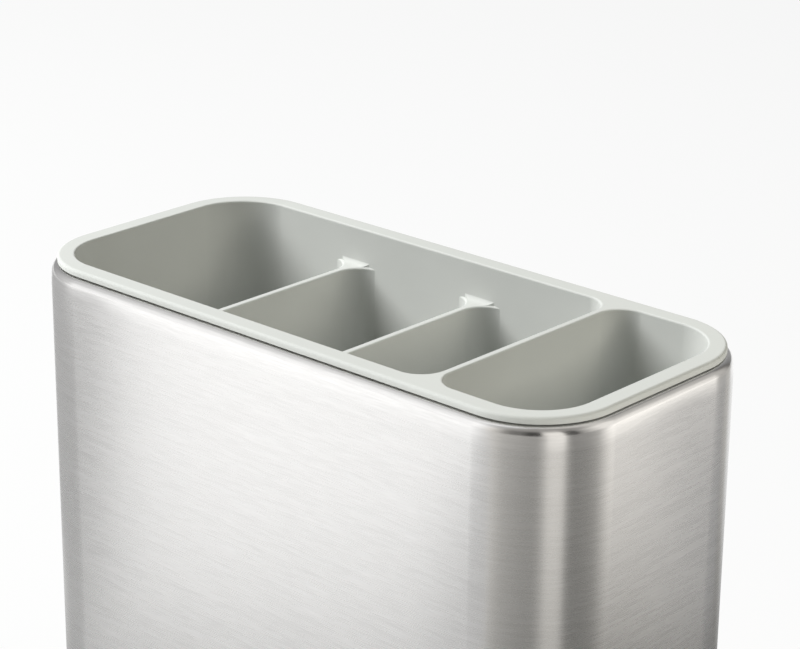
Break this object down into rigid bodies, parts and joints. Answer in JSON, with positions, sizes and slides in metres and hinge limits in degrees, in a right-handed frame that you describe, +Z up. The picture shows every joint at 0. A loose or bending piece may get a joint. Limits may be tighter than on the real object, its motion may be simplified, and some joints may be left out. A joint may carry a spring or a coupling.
{
  "type": "cutlery drainer",
  "caption": "Free-standing cutlery drainer: a brushed steel sleeve on a moulded drip tray, with a lift-out insert divided into broad pockets and a narrow one.",
  "frame": {"origin": "centre of the bounding box's bottom face, on the surface that the feet stand on", "axes": "+Z up, +X along the long side towards the narrow pocket, -Y the front"},
  "size_m": [0.1792, 0.0834, 0.165],
  "materials": {
    "tray_plastic": "satin moulded plastic",
    "ring_plastic": "satin moulded plastic",
    "brushed_steel": "brushed round the body, lacquered",
    "insert_plastic": "satin moulded plastic",
    "foot_rubber": "matt"
  },
  "bodies": {
    "tray": {"drip_tray": "tray_plastic", "foot_front_left": "foot_rubber", "foot_back_left": "foot_rubber", "foot_front_right": "foot_rubber", "foot_back_right": "foot_rubber"},
    "sleeve": {"steel_sleeve": "brushed_steel", "base_ring": "ring_plastic"},
    "insert": {"pocket_insert": "insert_plastic"}
  },
  "joints": [
    {"name": "sleeve_lift", "type": "slide", "parent": "tray", "child": "sleeve", "axis": [0, 0, 1], "range_m": [0, 0.04]},
    {"name": "insert_lift", "type": "slide", "parent": "sleeve", "child": "insert", "axis": [0, 0, 1], "range_m": [0, 0.16]}
  ]
}
